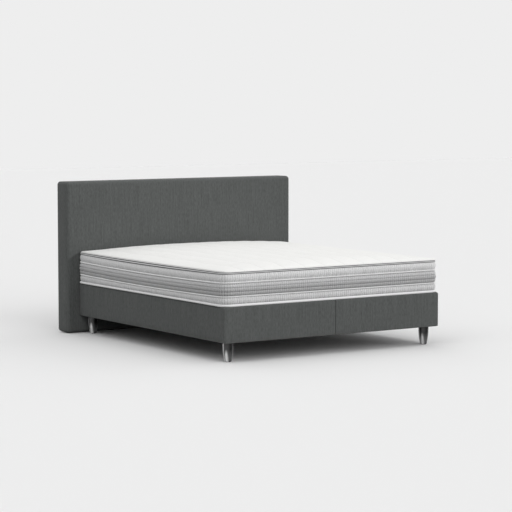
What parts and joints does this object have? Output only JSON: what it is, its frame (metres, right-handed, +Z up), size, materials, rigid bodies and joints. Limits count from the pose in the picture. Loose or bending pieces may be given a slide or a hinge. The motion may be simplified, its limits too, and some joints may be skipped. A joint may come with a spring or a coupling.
{
  "type": "box spring bed",
  "caption": "Upholstered box spring bed: sprung boxes side by side on turned metal legs, a quilted mattress with a channelled border, and a plain slab headboard.",
  "frame": {"origin": "middle of the bed's footprint, headboard included, on the floor", "axes": "+Z up, +Y from the foot end towards the headboard, +X to the right seen from the foot end"},
  "size_m": [2, 2.1604, 1.125],
  "materials": {
    "charcoal_fabric": "dark grey linen-look weave",
    "white_knit": "soft white quilted knit",
    "border_knit": "grey knit, lighter in the outer channels",
    "tape_weave": "dark grey and white woven tape",
    "white_binding": "white knit round binding",
    "felt": "needled felt",
    "foam": null,
    "pocket_cloth": "non-woven spring pockets",
    "black_cloth": "black non-woven",
    "pine": "planed pine",
    "fibreboard": "raw board",
    "polished_metal": "polished",
    "black_plastic": "satin black",
    "zinc_steel": "zinc plated"
  },
  "bodies": {
    "base": {"box_cover_left": "charcoal_fabric", "box_cover_right": "charcoal_fabric", "box_dust_cover_left": "black_cloth", "box_dust_cover_right": "black_cloth", "box_foot_rail_left": "pine", "box_foot_rail_right": "pine", "box_head_rail_left": "pine", "box_head_rail_right": "pine", "box_inner_rail_left": "pine", "box_inner_rail_right": "pine", "box_outer_rail_left": "pine", "box_outer_rail_right": "pine", "box_side_padding_left": "foam", "box_side_padding_right": "foam", "box_slat_deck_left": "pine", "box_slat_deck_right": "pine", "box_spring_core_left": "pocket_cloth", "box_spring_core_right": "pocket_cloth", "box_top_foam_left": "foam", "box_top_foam_right": "foam", "coupling_plate": "zinc_steel", "headboard_back_board": "black_cloth", "headboard_bottom_rail": "pine", "headboard_centre_post": "pine", "headboard_cover": "charcoal_fabric", "headboard_foam": "foam", "headboard_front_board": "fibreboard", "headboard_left_bracket": "zinc_steel", "headboard_left_glide": "black_plastic", "headboard_left_post": "pine", "headboard_right_bracket": "zinc_steel", "headboard_right_glide": "black_plastic", "headboard_right_post": "pine", "headboard_top_rail": "pine", "leg_block_foot_left": "pine", "leg_block_foot_right": "pine", "leg_block_head_left": "pine", "leg_block_head_right": "pine", "leg_foot_left": "polished_metal", "leg_foot_right": "polished_metal", "leg_glide_foot_left": "black_plastic", "leg_glide_foot_right": "black_plastic", "leg_glide_head_left": "black_plastic", "leg_glide_head_right": "black_plastic", "leg_head_left": "polished_metal", "leg_head_right": "polished_metal", "support_foot_head": "black_plastic", "support_foot_middle": "black_plastic"},
    "mattress": {"mattress_border": "border_knit", "mattress_bottom_binding": "white_binding", "mattress_bottom_felt": "felt", "mattress_bottom_foam": "foam", "mattress_bottom_panel": "white_knit", "mattress_edge_foam": "foam", "mattress_spring_core": "pocket_cloth", "mattress_top_felt": "felt", "mattress_top_foam": "foam", "mattress_top_panel": "white_knit", "mattress_top_tape": "tape_weave"}
  },
  "joints": [
    {"name": "mattress_lift", "type": "slide", "parent": "base", "child": "mattress", "axis": [0, 0, 1], "range_m": [0, 0.78]}
  ]
}
